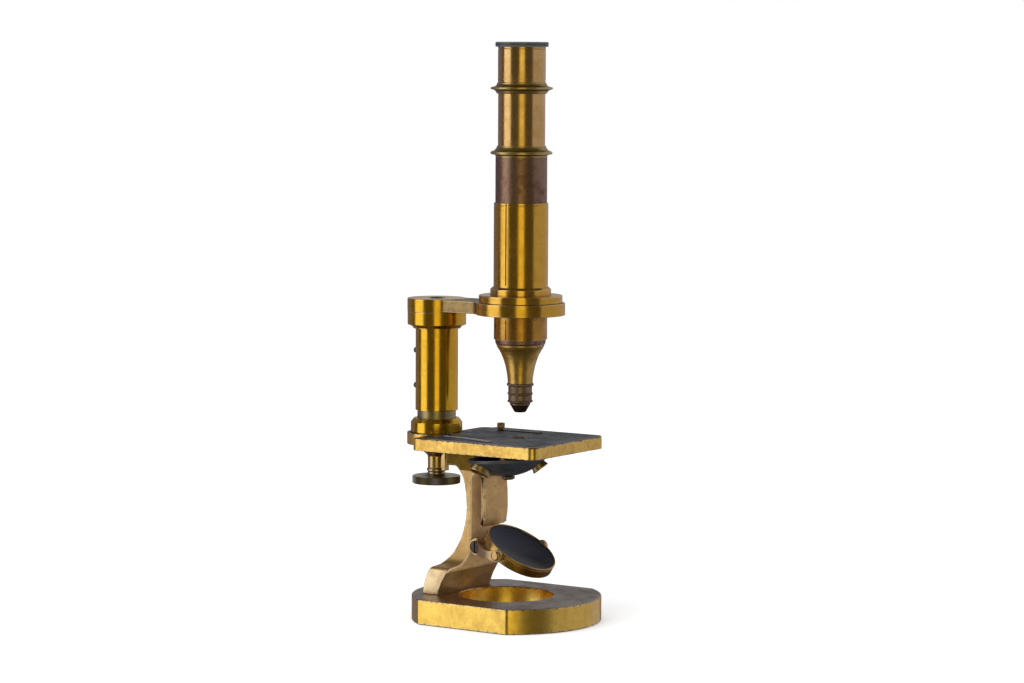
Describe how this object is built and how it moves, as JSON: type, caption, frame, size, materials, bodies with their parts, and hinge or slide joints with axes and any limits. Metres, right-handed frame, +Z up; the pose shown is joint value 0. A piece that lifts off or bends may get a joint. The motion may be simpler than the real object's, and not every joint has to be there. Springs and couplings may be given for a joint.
{
  "type": "compound microscope",
  "caption": "Brass compound microscope: pierced foot, curved limb, square stage, sliding body and draw tubes, eyepiece, fine-focus pillar, tilting mirror and turning aperture dish.",
  "frame": {"origin": "bottom centre of the overall box, on the plane the base stands on", "axes": "+Z up along the optical axis, -Y the front of the instrument where the user sits, +Y the focusing pillar, +X to the user's right"},
  "size_m": [0.08, 0.1054, 0.2875],
  "materials": {
    "worn_brass": "worn bright, stained",
    "tan_brass": "satin tan, thinned lacquer",
    "lacquered_brass": "polished, golden olive lacquer",
    "olive_brass": "tarnished olive",
    "patina_brass": "reddish brown patina",
    "brown_brass": "dull brown",
    "dark_brass": "dark tarnish, polished rim",
    "blackened_cover": "blue-black, rubbed",
    "blackened_dish": "blackened",
    "black_cap": "dark grey, matt",
    "dark_steel": "browned steel",
    "spring_steel": "drawn wire",
    "lens_glass": "clear",
    "mirror_face": "silvered from behind, aged dark"
  },
  "bodies": {
    "stand": {"base_plate": "worn_brass", "limb": "tan_brass", "foot_screw_left": "dark_steel", "foot_screw_right": "dark_steel", "stage_plate": "worn_brass", "stage_cover": "blackened_cover", "head_screw_left": "dark_steel", "head_screw_right": "dark_steel", "clip_screw_left": "dark_steel", "clip_screw_right": "lacquered_brass", "pillar": "olive_brass", "pillar_collar": "lacquered_brass", "spindle_housing": "lacquered_brass", "slide_block": "olive_brass", "diaphragm_post": "lacquered_brass", "diaphragm_screw": "lacquered_brass", "column_spring": "spring_steel"},
    "focus_arm": {"column_sleeve": "lacquered_brass", "guide_screw_upper": "dark_steel", "guide_screw_lower": "dark_steel", "column_flange": "lacquered_brass", "arm": "lacquered_brass", "arm_screw": "dark_steel", "sleeve_flange": "lacquered_brass", "sleeve_collar": "lacquered_brass", "tube_sleeve": "lacquered_brass"},
    "fine_knob": {"fine_focus_spindle": "dark_steel", "fine_focus_knob": "dark_brass"},
    "main_tube": {"body_tube": "patina_brass", "body_tube_flange": "olive_brass", "nose_ring": "patina_brass", "nose_cone": "lacquered_brass", "objective_upper": "brown_brass", "objective_middle": "brown_brass", "objective_lower": "brown_brass", "lens_objective_upper": "lens_glass", "lens_objective_middle": "lens_glass", "lens_objective_front": "lens_glass"},
    "inner_tube": {"draw_tube": "lacquered_brass", "draw_tube_flange": "olive_brass"},
    "eyepiece": {"eyepiece_tube": "olive_brass", "eyepiece_barrel": "lacquered_brass", "eyepiece_cap": "black_cap", "lens_eye": "lens_glass", "lens_field": "lens_glass", "field_stop": "black_cap"},
    "mirror_fork": {"fork_arm_left": "tan_brass", "fork_arm_right": "tan_brass", "fork_screw_left": "dark_steel", "fork_screw_right": "dark_steel", "fork_shaft": "dark_steel", "mirror_screw_left": "brown_brass", "mirror_screw_right": "brown_brass"},
    "mirror": {"mirror_cell": "lacquered_brass", "mirror_glass": "mirror_face"},
    "aperture_dish": {"diaphragm": "blackened_dish"},
    "clip_left": {"clip_blade_left": "dark_steel"},
    "clip_right": {"clip_blade_right": "dark_steel"}
  },
  "joints": [
    {"name": "fine_knob_turn", "type": "hinge", "parent": "stand", "child": "fine_knob", "pos_m": [0, 0.0378, 0.067], "axis": [0, 0, 1], "range_deg": [-721, 721]},
    {"name": "fine_focus_slide", "type": "slide", "parent": "stand", "child": "focus_arm", "axis": [0, 0, 1], "range_m": [-0.001, 0.001], "stiffness_N_per_m": 300, "springref_m": 0.01288, "deforming": ["column_spring"]},
    {"name": "coarse_focus_slide", "type": "slide", "parent": "focus_arm", "child": "main_tube", "axis": [0, 0, 1], "range_m": [-0.01, 0.04]},
    {"name": "draw_tube_slide", "type": "slide", "parent": "main_tube", "child": "inner_tube", "axis": [0, 0, 1], "range_m": [-0.025, 0.03]},
    {"name": "eyepiece_lift", "type": "slide", "parent": "inner_tube", "child": "eyepiece", "axis": [0, 0, 1], "range_m": [0, 0.045]},
    {"name": "fork_swing", "type": "hinge", "parent": "stand", "child": "mirror_fork", "pos_m": [0, 0.0044, 0.0368], "axis": [1, 0, 0], "range_deg": [0, 20]},
    {"name": "mirror_tilt", "type": "hinge", "parent": "mirror_fork", "child": "mirror", "pos_m": [0, -0.01282, 0.03479], "axis": [1, 0, 0], "range_deg": [-2, 90]},
    {"name": "aperture_turn", "type": "hinge", "parent": "stand", "child": "aperture_dish", "pos_m": [-0.0144, -0.0148, 0.0829], "axis": [0, 0.0748, 0.9972], "continuous": true},
    {"name": "clip_left_swing", "type": "hinge", "parent": "stand", "child": "clip_left", "pos_m": [-0.018, 0.0188, 0.092], "axis": [0, 0, 1], "range_deg": [-10, 40]},
    {"name": "clip_right_swing", "type": "hinge", "parent": "stand", "child": "clip_right", "pos_m": [0.0205, 0.0123, 0.092], "axis": [0, 0, 1], "range_deg": [-40, 20]}
  ],
  "couplings": [
    {"joint": "fine_knob_turn", "follows": "fine_focus_slide", "rad_per_m": 12566}
  ]
}
